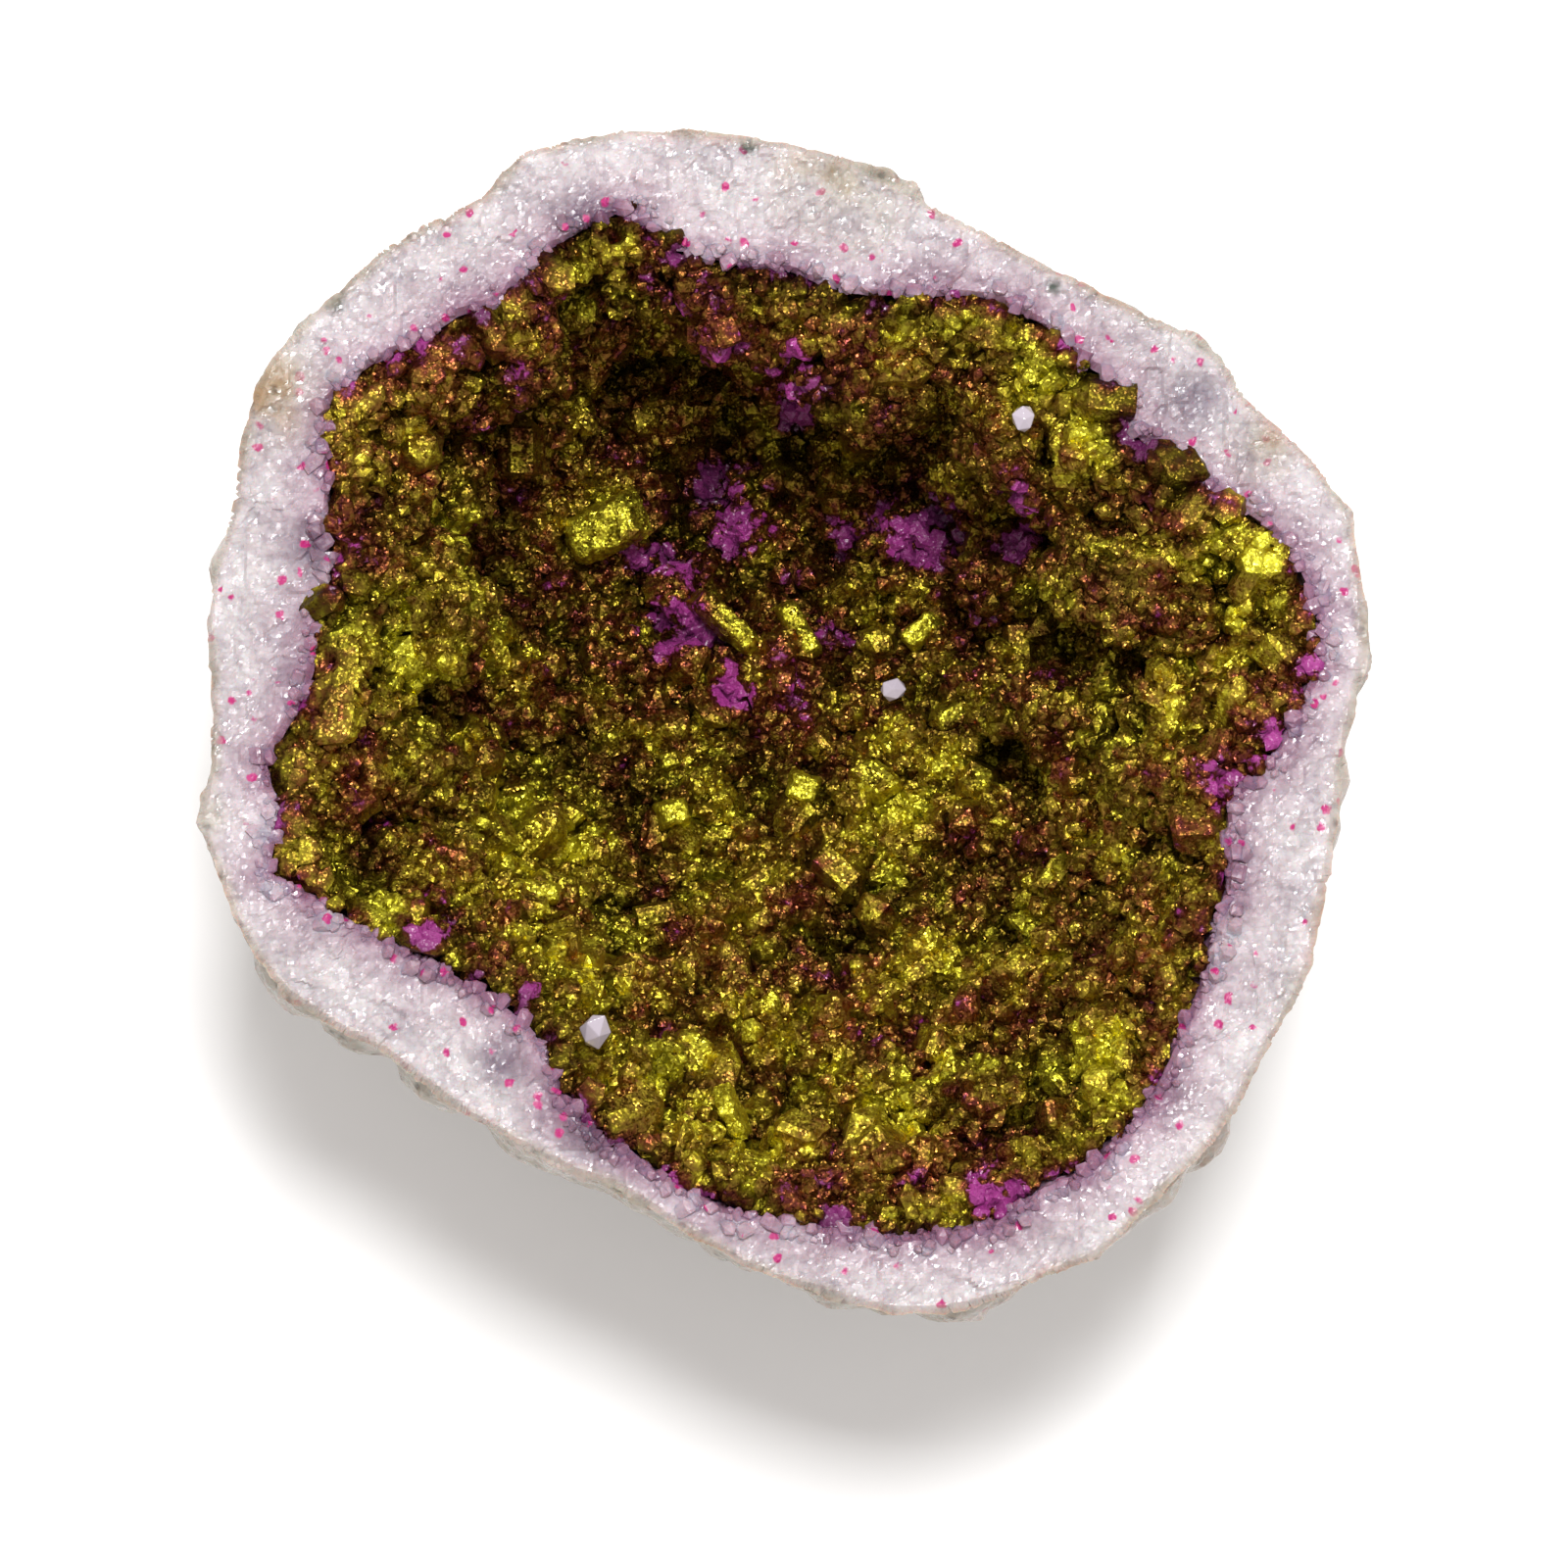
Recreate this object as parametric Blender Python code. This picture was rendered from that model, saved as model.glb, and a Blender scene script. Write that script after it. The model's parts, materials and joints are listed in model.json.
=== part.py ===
"""Half of a dyed quartz geode, broken open and resting on its rounded back.

A nodule of white quartz with a thin limestone rind is hollow inside. A bed of small crystals
lines the hollow, larger clusters and single crystals stand out of the bed, and a few chips of
clear quartz lie on it. Units are metres, +Z is up and the broken face looks up.
"""
import math

import bmesh
import bpy
from mathutils import Matrix, Vector, noise
from mathutils.bvhtree import BVHTree
import numpy as np

MM = 0.001

# Outline of the broken face, seen from above (x, y in mm), counter-clockwise from the right.
FACE_OUTLINE = [
    (35.1, 6.4), (34.7, 9.0), (34.0, 13.2), (32.0, 15.2), (28.0, 19.0), (26.1, 22.0), (20.9, 24.9),
    (15.1, 27.6), (9.1, 30.9), (4.7, 33.6), (-1.0, 35.1), (-9.1, 35.8), (-16.0, 34.2), (-18.6, 31.0),
    (-23.0, 29.4), (-27.0, 25.6), (-30.9, 21.9), (-32.2, 18.5), (-33.1, 12.2), (-34.7, 6.9),
    (-34.2, 3.8), (-34.1, -2.8), (-35.2, -6.0), (-34.2, -8.6), (-32.2, -13.8), (-28.7, -17.4),
    (-24.1, -19.7), (-16.6, -24.9), (-9.4, -28.3), (-3.9, -31.9), (3.0, -34.6), (7.6, -35.8),
    (11.7, -35.1), (15.1, -33.5), (20.4, -31.7), (21.2, -29.9), (26.4, -24.5), (28.9, -19.3),
    (31.4, -15.5), (31.9, -12.3), (33.0, -7.4), (33.4, -2.0), (34.3, 0.6),
]

# Outline of the hollow where it meets the broken face (x, y in mm), counter-clockwise too.
HOLLOW_OUTLINE = [
    (32.0, 4.1), (31.8, 6.9), (30.6, 9.2), (26.8, 13.0), (24.1, 13.9), (20.0, 17.3), (19.8, 19.7),
    (17.4, 21.5), (14.8, 24.0), (12.2, 24.9), (5.9, 24.8), (3.0, 25.4), (-0.5, 26.7), (-4.8, 26.7),
    (-6.2, 28.4), (-8.3, 31.0), (-15.8, 26.6), (-16.5, 24.9), (-20.7, 23.4), (-23.5, 20.9),
    (-27.3, 20.3), (-27.0, 13.3), (-26.7, 7.6), (-27.7, 5.3), (-27.7, 1.8), (-28.9, -0.2),
    (-30.7, -2.5), (-29.6, -6.3), (-30.5, -9.2), (-25.8, -12.1), (-23.0, -13.5), (-17.2, -16.1),
    (-13.7, -19.4), (-12.9, -23.0), (-8.5, -26.2), (-4.5, -29.0), (1.3, -30.1), (7.6, -31.2),
    (12.8, -30.4), (16.0, -27.4), (18.6, -26.8), (20.9, -24.2), (22.6, -21.3), (24.9, -14.9),
    (26.4, -10.0), (26.1, -5.3), (28.4, -3.4), (30.1, -0.5), (31.6, 1.8),
]

FACE_HEIGHT = 35.5 * MM        # mean height of the broken face
FACE_ROUGHNESS = 1.6 * MM      # how far the break wanders up and down
FACE_WAVE = 15.0 * MM          # distance between its rises
BELT_HEIGHT = 30.0 * MM        # where the nodule is widest
NODULE_DEPTH = 31.0 * MM       # from the belt down to the bottom of the nodule
NODULE_RISE = 30.0 * MM        # from the belt up to the top of the nodule, before the break
BELT_LEVEL = 0.72              # where the belt comes between the nodule's bottom 0 and top 1
BACK_RADIUS = 33.0 * MM        # the rounder, plainer radius that the back settles to
BACK_ROUNDING = 0.7            # how far it does so by the bottom
BACK_FULLNESS = 0.8            # exponent of the back's section; 1 would be an ellipse
BACK_LUMP = 2.0 * MM           # lumps on the back
BACK_LUMP_SIZE = 10.0 * MM
LUMPS_BEGIN = 2.5              # how soon below the belt the lumps reach their full height
LUMPS_END = 6.0                # and how soon they die away at the bottom

FLOOR_HEIGHT = 9.0 * MM        # lowest point of the hollow in the wall
HOLLOW_TOP = 46.0 * MM         # the hollow's surfaces close above the break
FACE_LEVEL = 0.78              # where the break comes between their bottom 0 and top 1
DEEP_SPOT = Vector((-2.5 * MM, 7.5 * MM, 0.0))   # the hollow is deepest off to the far side
HOLLOW_RADIUS = 28.6 * MM      # the round plan that the hollow settles to
ROUNDING_RATE = 1.3            # how soon below the face it does so
HOLLOW_MIDDLE = Vector((0.0, 2.0 * MM, 34.0 * MM))
LEAST_SLANT = 0.6              # keeps a slanting stretch from being brought in too far
STEEP_SIDE = 0.50              # exponent of the hollow's section on its steepest side
GENTLE_SIDE = 1.5              # and on the gentle side across from it
STEEPEST = math.radians(118)   # the steepest side is at the far left

TOUCH_GAP = 0.3 * MM           # clearance between pieces that touch
LINING_EDGE = 1.0 * MM         # thickness of the crystal bed at the broken face
LINING_DEEP = 3.0 * MM         # and down in the hollow
LINING_DROP = 0.5 * MM         # the bed stops this far below the broken face
BED_SETTLES = 8.0 * MM         # it has its full thickness this far below the break
SHELF = 3.4 * MM               # how far the bed swells out under the break, except on the near side
SHELF_DEPTH = 5.0 * MM         # middle of that swelling below the broken face
SHELF_SPREAD = 4.0 * MM        # and how soon it dies away above and below
SHELF_SHARE = 0.75             # share of it on the left and right; all of it on the far side
NARROW_SHARE = 0.8             # how much of it is missing where the far-left side is steepest
NARROW_SPREAD = math.radians(38)
CLUMP = 1.6 * MM               # height of the clumps on the bed
CLUMP_SIZE = 5.5 * MM
LEAST_CLUMP = 0.3              # share of the clumps' height that is left at the break
COARSE_SHARE = 0.6             # shares of clumps twice that size, and of that size
FINE_SHARE = 0.8
CLUSTER_KNOBS = 0.3            # knobs on a cluster, as a share of its size
KNOB_RATE = 1.7                # and how close together they come
CHIP_FACETS = 0.35             # unevenness of a chip, as a share of its size
CHIP_RATE = 2.3
CRYSTAL_TAPER = 0.7            # width of a single crystal's end, as a share of its foot
CRYSTAL_BEVEL = 0.18           # bevel of its edges, as a share of its half-length
BREAK_SPAN = 42.0 * MM         # half the width of the block that the break cuts off
BREAK_CELLS = 34
GROUND_SPAN = 60.0 * MM

OBJECT_NAME = "geode_half"


def clear_scene():
    for thing in list(bpy.data.objects):
        bpy.data.objects.remove(thing, do_unlink=True)


def new_collection(name):
    collection = bpy.data.collections.new(name)
    bpy.context.scene.collection.children.link(collection)
    return collection


def material(name, colour, roughness, metallic=0.0):
    made = bpy.data.materials.new(name)
    made.use_nodes = True
    shader = made.node_tree.nodes["Principled BSDF"]
    shader.inputs["Base Color"].default_value = (*colour, 1.0)
    shader.inputs["Roughness"].default_value = roughness
    shader.inputs["Metallic"].default_value = metallic
    made.diffuse_color = (*colour, 1.0)
    return made


def to_object(name, bm, collection, finish=None):
    """Closes a bmesh into a named object in its collection."""
    bmesh.ops.recalc_face_normals(bm, faces=bm.faces)
    mesh = bpy.data.meshes.new(name)
    bm.to_mesh(mesh)
    bm.free()
    thing = bpy.data.objects.new(name, mesh)
    collection.objects.link(thing)
    if finish:
        mesh.materials.append(finish)
    return thing


def to_cutter(name, bm, collection):
    thing = to_object(name, bm, collection)
    thing.hide_render = True
    thing.display_type = "WIRE"
    return thing


def cut(thing, cutter, operation="DIFFERENCE"):
    boolean = thing.modifiers.new(f"{operation.lower()}_{cutter.name}", "BOOLEAN")
    boolean.operation = operation
    boolean.solver = "EXACT"
    boolean.object = cutter


def lumps(point, size, seed):
    """Smooth unevenness from -1 to 1, with bumps about one size apart."""
    return noise.noise(point / size + Vector((seed, seed, seed)))


def reach(outline, azimuth):
    """Distance in metres from the axis to an outline in the direction azimuth."""
    angles = [math.atan2(y, x) for x, y in outline]
    radii = [math.hypot(x, y) for x, y in outline]
    return float(np.interp(azimuth, angles, radii, period=math.tau)) * MM


def shaped_sphere(segments, rings, place):
    """A sphere whose points go to place(azimuth, level); level is 0 at the bottom and 1 at the top."""
    bm = bmesh.new()
    bmesh.ops.create_uvsphere(bm, u_segments=segments, v_segments=rings, radius=1.0)
    for vert in bm.verts:
        azimuth = math.atan2(vert.co.y, vert.co.x)
        level = 0.5 + math.asin(max(-1.0, min(1.0, vert.co.z))) / math.pi
        vert.co = place(azimuth, level)
    bmesh.ops.recalc_face_normals(bm, faces=bm.faces)
    bm.normal_update()
    return bm


def nodule_point(azimuth, level):
    """Surface of the whole nodule: it follows the face outline at the belt and gets rounder below."""
    if level < BELT_LEVEL:
        latitude = (level / BELT_LEVEL - 1.0) * math.pi / 2
        height = BELT_HEIGHT + NODULE_DEPTH * math.sin(latitude)
    else:
        latitude = (level - BELT_LEVEL) / (1.0 - BELT_LEVEL) * math.pi / 2
        height = BELT_HEIGHT + NODULE_RISE * math.sin(latitude)
    depth = max(0.0, -math.sin(latitude))
    radius = reach(FACE_OUTLINE, azimuth)
    radius += (BACK_RADIUS - radius) * BACK_ROUNDING * depth
    radius *= max(0.0, math.cos(latitude)) ** BACK_FULLNESS
    point = Vector((radius * math.cos(azimuth), radius * math.sin(azimuth), height))
    outward = Vector((math.cos(azimuth), math.sin(azimuth), -depth)).normalized()
    lumpiness = BACK_LUMP * min(1.0, LUMPS_BEGIN * depth) * min(1.0, LUMPS_END * (1.0 - depth))
    return point + outward * lumpiness * lumps(point, BACK_LUMP_SIZE, 2.0)


def hollow_point(azimuth, level):
    """Surface of the hollow in the quartz, carried on straight up past the broken face."""
    radius = reach(HOLLOW_OUTLINE, azimuth)
    if level < FACE_LEVEL:
        latitude = (1.0 - level / FACE_LEVEL) * math.pi / 2
        depth = math.sin(latitude)
        side = 0.5 + 0.5 * math.cos(azimuth - STEEPEST)
        power = GENTLE_SIDE + (STEEP_SIDE - GENTLE_SIDE) * side
        radius += (HOLLOW_RADIUS - radius) * min(1.0, ROUNDING_RATE * depth)
        radius *= max(0.0, math.cos(latitude)) ** power
        height = FACE_HEIGHT - (FACE_HEIGHT - FLOOR_HEIGHT) * depth
        centre = DEEP_SPOT * depth
    else:
        rise = (level - FACE_LEVEL) / (1.0 - FACE_LEVEL)
        radius *= math.sqrt(max(0.0, 1.0 - rise * rise))
        height = FACE_HEIGHT + (HOLLOW_TOP - FACE_HEIGHT) * rise
        centre = Vector()
    return centre + Vector((radius * math.cos(azimuth), radius * math.sin(azimuth), height))


def hollow_surface(segments, rings, inset):
    """The hollow's surface, brought in by inset(point) at every point, along the line to its middle."""
    bm = shaped_sphere(segments, rings, hollow_point)
    for vert in bm.verts:
        inward = (HOLLOW_MIDDLE - vert.co).normalized()
        slant = max(LEAST_SLANT, -inward.dot(vert.normal))
        vert.co += inward * inset(vert.co) / slant
    return bm


def bed_thickness(point):
    """Thickness of the crystal bed: thin at the break, then a shelf, and clumpy below it."""
    depth = min(1.0, max(0.0, (FACE_HEIGHT - point.z) / BED_SETTLES))
    thickness = LINING_EDGE + (LINING_DEEP - LINING_EDGE) * depth
    azimuth = math.atan2(point.y, point.x)
    share = min(1.0, SHELF_SHARE * (1.0 + math.sin(azimuth)))
    off_steepest = math.remainder(azimuth - STEEPEST, math.tau) / NARROW_SPREAD
    share *= 1.0 - NARROW_SHARE * math.exp(-off_steepest * off_steepest)
    off_shelf = (FACE_HEIGHT - SHELF_DEPTH - point.z) / SHELF_SPREAD
    thickness += SHELF * share * math.exp(-off_shelf * off_shelf)
    coarse = lumps(point, 2.0 * CLUMP_SIZE, 5.0)
    fine = lumps(point, CLUMP_SIZE, 9.0)
    height = CLUMP * (LEAST_CLUMP + (1.0 - LEAST_CLUMP) * depth)
    return thickness + height * (COARSE_SHARE * coarse + FINE_SHARE * fine)


def face_height(x, y):
    """Height of the broken face, which wanders up and down."""
    wander = lumps(Vector((x, y, 0.0)), FACE_WAVE, 3.0)
    return FACE_HEIGHT + FACE_ROUGHNESS * wander


def break_block(drop):
    """Everything above the broken face, lowered by drop."""
    bm = bmesh.new()
    bmesh.ops.create_grid(bm, x_segments=BREAK_CELLS, y_segments=BREAK_CELLS, size=BREAK_SPAN)
    for vert in bm.verts:
        vert.co.z = face_height(vert.co.x, vert.co.y) - drop
    extruded = bmesh.ops.extrude_face_region(bm, geom=bm.faces[:])
    for part in extruded["geom"]:
        if isinstance(part, bmesh.types.BMVert):
            part.co.z = HOLLOW_TOP + NODULE_RISE
    return bm


def ground_block():
    """Everything below the surface that the half rests on, which leaves a flat foot."""
    bm = bmesh.new()
    bmesh.ops.create_cube(bm, size=GROUND_SPAN)
    bmesh.ops.translate(bm, verts=bm.verts, vec=(0.0, 0.0, -GROUND_SPAN / 2))
    return bm


def surface(things):
    """One searchable surface of several objects as they stand, with their cuts made."""
    graph = bpy.context.evaluated_depsgraph_get()
    together = bmesh.new()
    for thing in things:
        together.from_object(thing, graph)
    tree = BVHTree.FromBMesh(together)
    together.free()
    return tree


def resting(below, x, y, half_height):
    """The middle of a loose piece that lies on the surface below x, y (all in mm)."""
    spot, upward, _, _ = below.ray_cast(Vector((x * MM, y * MM, HOLLOW_TOP)), Vector((0, 0, -1)))
    return spot / MM + upward * (half_height + 2 * TOUCH_GAP / MM)


def placed(size, turn, centre):
    """Matrix that scales to size, turns by degrees about X, Y and Z, and moves to centre (mm)."""
    turned = Matrix.Translation(Vector(centre) * MM)
    for angle, axis in zip(turn, "XYZ"):
        turned = turned @ Matrix.Rotation(math.radians(angle), 4, axis)
    return turned @ Matrix.Diagonal((*(side * MM for side in size), 1.0))


def cluster(centre, size, turn, detail, seed):
    """A lump of intergrown crystals: a ball stretched to its three half-lengths and made knobbly."""
    bm = bmesh.new()
    bmesh.ops.create_icosphere(bm, subdivisions=detail, radius=1.0)
    for vert in bm.verts:
        vert.co *= 1.0 + CLUSTER_KNOBS * noise.noise(vert.co * KNOB_RATE + Vector((seed, 0.0, seed)))
    bmesh.ops.transform(bm, verts=bm.verts, matrix=placed(size, turn, centre))
    return bm


def block_crystal(centre, size, turn):
    """A stubby crystal: a box with its top end drawn in and its edges bevelled off."""
    bm = bmesh.new()
    bmesh.ops.create_cube(bm, size=2.0)
    for vert in bm.verts:
        if vert.co.z > 0:
            vert.co.x *= CRYSTAL_TAPER
            vert.co.y *= CRYSTAL_TAPER
    bmesh.ops.bevel(bm, geom=bm.edges[:], offset=CRYSTAL_BEVEL, segments=1, affect="EDGES")
    bmesh.ops.transform(bm, verts=bm.verts, matrix=placed(size, turn, centre))
    return bm


def chip(centre, size, turn, seed):
    """A splinter of clear quartz: a coarse ball, squashed and broken into flat facets."""
    bm = bmesh.new()
    bmesh.ops.create_icosphere(bm, subdivisions=1, radius=1.0)
    for vert in bm.verts:
        vert.co *= 1.0 + CHIP_FACETS * noise.noise(vert.co * CHIP_RATE + Vector((0.0, seed, seed)))
    bmesh.ops.transform(bm, verts=bm.verts, matrix=placed(size, turn, centre))
    return bm


# Clusters: name, middle (x, y, z), half-lengths, turn about Z in degrees, detail. Sizes in mm.
# Each one grows out of the bed, and what would lie inside the bed is cut away. They go round the
# hollow from the far left.
CLUSTERS = [
    ("shoulder_cluster", (-21.2, 19.6, 30.6), (3.0, 2.0, 2.6), 25, 2),
    ("knob_cluster", (-15.8, 22.0, 30.6), (2.3, 2.6, 3.0), 0, 2),
    ("peak_cluster", (-8.8, 26.8, 31.2), (2.5, 2.5, 2.6), 20, 2),
    ("peak_side_cluster", (-0.6, 23.4, 30.6), (2.2, 1.8, 2.4), 0, 2),
    ("shaded_cluster", (-20.2, 15.4, 24.2), (3.2, 2.4, 2.6), 40, 2),
    ("left_cluster", (-21.6, 7.0, 29.0), (4.2, 4.8, 3.4), 5, 2),
    ("left_low_cluster", (-23.4, -2.0, 28.6), (4.2, 3.4, 3.2), -10, 2),
    ("lower_left_cluster", (-20.8, -6.8, 26.0), (3.0, 2.4, 2.4), 0, 2),
    ("upper_shelf_cluster", (4.7, 20.5, 30.4), (4.3, 3.3, 3.0), -4, 2),
    ("jagged_shelf_cluster", (13.4, 16.6, 30.0), (3.6, 3.2, 3.2), -48, 2),
    ("overhang_cluster", (21.4, 8.2, 31.0), (6.6, 4.2, 2.8), -28, 3),
    ("hanging_cluster", (18.4, 1.6, 25.0), (6.4, 3.2, 3.1), 4, 2),
    ("small_right_cluster", (13.8, 10.4, 20.2), (3.6, 2.5, 2.8), 38, 2),
    ("right_wall_cluster", (21.2, -3.6, 30.2), (2.8, 3.2, 2.4), 15, 2),
    ("right_ledge_cluster", (18.6, -9.0, 27.6), (3.6, 2.6, 2.6), 10, 2),
    ("near_right_cluster", (11.4, -22.2, 30.4), (4.0, 2.6, 2.4), 15, 2),
    ("near_lump_cluster", (5.6, -20.4, 28.0), (2.4, 1.9, 1.8), 0, 2),
    ("near_left_cluster", (-8.6, -20.2, 30.6), (2.4, 2.1, 2.0), 0, 2),
]

# Single large crystals: name, middle, half-lengths, turn about X, Y and Z in degrees.
CRYSTALS = [
    ("bright_plate", (-11.2, 14.2, 15.0), (2.9, 1.8, 0.9), (12, -12, 24)),
    ("long_blade", (-3.6, 8.4, 14.2), (0.9, 3.0, 1.1), (-5, 3, 48)),
    ("short_blade", (0.9, 8.0, 13.8), (0.9, 2.4, 1.1), (-8, 0, 30)),
    ("near_blade", (-3.0, -23.4, 31.2), (0.7, 2.1, 1.2), (35, 0, 22)),
    ("left_bar", (-14.8, -9.4, 25.2), (1.5, 0.8, 0.9), (0, 18, -6)),
    ("floor_block", (8.6, 7.6, 16.1), (1.6, 0.9, 1.1), (0, -12, 38)),
    ("left_floor_block", (-6.8, -3.9, 17.7), (1.1, 1.0, 1.1), (0, 8, 15)),
    ("near_floor_block", (1.2, -2.2, 16.7), (1.2, 1.1, 1.1), (8, 0, -20)),
]

# Loose chips of pale quartz, lying on what is below them: name, (x, y) in mm, half-lengths,
# turn about X, Y and Z in degrees, seed.
CHIPS = [
    ("upper_chip", (14.6, 18.8), (0.75, 0.9, 0.6), (10, 0, 20), 1.0),
    ("left_chip", (-12.3, -18.8), (1.0, 1.3, 0.7), (35, 20, -10), 4.0),
    ("floor_chip", (7.4, 3.4), (0.9, 0.8, 0.6), (0, 0, 0), 7.0),
]


def build():
    clear_scene()
    parts = new_collection(OBJECT_NAME)
    cutters = new_collection("cutters")

    white_quartz = material("white_quartz", (0.68, 0.62, 0.66), 0.55)
    dyed_druse = material("dyed_druse", (0.25, 0.20, 0.04), 0.35, 0.8)
    gilded_crystal = material("gilded_crystal", (0.50, 0.46, 0.06), 0.30, 0.9)
    clear_quartz = material("clear_quartz", (0.75, 0.68, 0.74), 0.20)

    above_break = to_cutter("above_break", break_block(0.0), cutters)
    above_bed = to_cutter("above_bed", break_block(LINING_DROP), cutters)
    below_ground = to_cutter("below_ground", ground_block(), cutters)
    bare_hollow = hollow_surface(64, 20, lambda point: 0.0)
    bed_surface = hollow_surface(84, 34, lambda point: TOUCH_GAP + bed_thickness(point))
    clear_of_bed = hollow_surface(84, 34, lambda point: 2 * TOUCH_GAP + bed_thickness(point))
    hollow = to_cutter("hollow", bare_hollow, cutters)
    air = to_cutter("air", bed_surface, cutters)
    open_air = to_cutter("open_air", clear_of_bed, cutters)

    wall = to_object("stone_wall", shaped_sphere(72, 20, nodule_point), parts, white_quartz)
    cut(wall, below_ground)
    cut(wall, above_break)
    cut(wall, hollow)

    bed_back = hollow_surface(64, 20, lambda point: TOUCH_GAP)
    lining = to_object("crystal_lining", bed_back, parts, dyed_druse)
    cut(lining, above_bed)
    cut(lining, air)

    for number, (name, centre, size, turn, detail) in enumerate(CLUSTERS):
        ball = cluster(centre, size, (0, 0, turn), detail, float(number))
        cut(to_object(name, ball, parts, dyed_druse), open_air, "INTERSECT")
    for name, centre, size, turn in CRYSTALS:
        block = block_crystal(centre, size, turn)
        cut(to_object(name, block, parts, gilded_crystal), open_air, "INTERSECT")

    bpy.context.view_layer.update()
    below = surface(parts.objects)
    for name, (x, y), size, turn, seed in CHIPS:
        to_object(name, chip(resting(below, x, y, size[2]), size, turn, seed), parts, clear_quartz)


build()
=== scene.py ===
import json
import math

import bmesh
import bpy
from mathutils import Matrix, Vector, noise
from mathutils.bvhtree import BVHTree
from mathutils.kdtree import KDTree

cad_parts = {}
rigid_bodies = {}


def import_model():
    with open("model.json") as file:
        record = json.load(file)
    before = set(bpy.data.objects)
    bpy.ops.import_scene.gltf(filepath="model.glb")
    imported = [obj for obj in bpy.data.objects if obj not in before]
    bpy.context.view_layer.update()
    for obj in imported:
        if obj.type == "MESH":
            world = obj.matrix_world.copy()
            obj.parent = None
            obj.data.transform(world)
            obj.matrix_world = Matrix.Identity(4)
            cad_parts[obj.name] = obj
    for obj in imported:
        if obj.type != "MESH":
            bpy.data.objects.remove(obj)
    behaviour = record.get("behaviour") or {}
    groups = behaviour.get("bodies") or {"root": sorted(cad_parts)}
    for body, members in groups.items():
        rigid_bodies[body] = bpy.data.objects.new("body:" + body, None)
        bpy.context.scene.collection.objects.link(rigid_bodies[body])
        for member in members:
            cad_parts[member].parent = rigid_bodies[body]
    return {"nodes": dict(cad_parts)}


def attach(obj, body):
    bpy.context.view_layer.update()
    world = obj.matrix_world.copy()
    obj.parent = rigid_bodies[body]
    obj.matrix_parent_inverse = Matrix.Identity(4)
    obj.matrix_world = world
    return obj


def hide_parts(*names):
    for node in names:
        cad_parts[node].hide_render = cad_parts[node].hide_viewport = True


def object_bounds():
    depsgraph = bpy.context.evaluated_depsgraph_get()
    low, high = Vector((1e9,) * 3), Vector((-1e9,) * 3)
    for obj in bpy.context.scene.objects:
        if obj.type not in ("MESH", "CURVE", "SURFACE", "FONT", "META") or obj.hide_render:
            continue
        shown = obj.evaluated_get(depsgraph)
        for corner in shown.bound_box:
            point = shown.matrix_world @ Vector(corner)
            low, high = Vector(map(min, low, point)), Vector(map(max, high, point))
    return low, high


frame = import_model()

cad_low, cad_high = [Vector(corner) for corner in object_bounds()]
bpy.ops.object.select_all(action="DESELECT")
scene = bpy.context.scene


# ---------------------------------------------------------------------------------------------
# The crystal bed. Stubby quartz crystals grew inwards all over the hollow, in rounded clumps, as
# one crust that is fused to the stone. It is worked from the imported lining, swollen a little so
# that it grips the quartz, and its clumps die away towards the edge of the hollow.
MM = 0.001
BED_GRAIN = 0.42 * MM          # edge of the faces that carry the clumps
BED_OVERLAP = 0.4 * MM         # the bed is grown on to the quartz, with no seam between them
CLUMPS = [                     # kind, spacing, height and middle level, from coarse to fine
    ("CLOUDS", 6.0 * MM, 2.0 * MM, 0.55),
    ("VORONOI", 4.2 * MM, 3.9 * MM, 0.42),
    ("VORONOI", 1.4 * MM, 0.7 * MM, 0.4),
]
CLUMPS_START = 0.5             # how far from the hollow's edge the clumps start, in mm
CLUMPS_FULL = 3.5              # and where they have their full height
BED_FACET = 1.3 * MM           # size of the flat faces that the bed is broken into
BED_LEAN = 0.7
TOP_EASE = 0.8 * MM            # peaks are eased in over this height below the box's top
HOLLOW_MIDDLE = Vector((0.0, 2.0 * MM, 34.0 * MM))
BROKEN_LEVEL = 32.5 * MM       # the fresh broken face is all above this level
BROKEN_SLOPE = 0.7             # and faces up at least this much
LINED_WITHIN = 1.0 * MM        # the lining lies closer than this to the wall of the hollow


def only(piece):
    """Makes one piece the selected, active one, for the operators that follow."""
    bpy.ops.object.select_all(action="DESELECT")
    piece.select_set(True)
    bpy.context.view_layer.objects.active = piece


def apply(piece, kind, **settings):
    """Adds a modifier with its settings and applies it."""
    only(piece)
    modifier = piece.modifiers.new(kind.lower(), kind)
    for name, value in settings.items():
        setattr(modifier, name, value)
    bpy.ops.object.modifier_apply(modifier=modifier.name)


def worked_copy(node, name, grain):
    """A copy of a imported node, its triangles joined up, in even faces of about grain."""
    piece = bpy.data.objects.new(name, frame["nodes"][node].data.copy())
    scene.collection.objects.link(piece)
    piece.data.materials.clear()
    only(piece)
    bpy.ops.object.mode_set(mode="EDIT")
    bpy.ops.mesh.select_all(action="SELECT")
    bpy.ops.mesh.remove_doubles(threshold=0.001 * MM)
    bpy.ops.object.mode_set(mode="OBJECT")
    apply(piece, "REMESH", mode="VOXEL", voxel_size=grain, adaptivity=0.0)
    return piece


def roughen(piece, kind, spacing, height, level=0.5, group="", metric="DISTANCE"):
    """Raises and sinks the surface by a natural pattern with that spacing and height."""
    pattern = bpy.data.textures.new(f"{piece.name}_{kind.lower()}", kind)
    pattern.noise_scale = spacing
    if kind == "VORONOI":
        pattern.distance_metric = metric
        pattern.noise_intensity = 1.0
        height = -height       # a cell's middle stands out and its edges are the gaps
    apply(
        piece, "DISPLACE", texture=pattern, texture_coords="LOCAL", strength=height,
        mid_level=level, vertex_group=group,
    )


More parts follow.
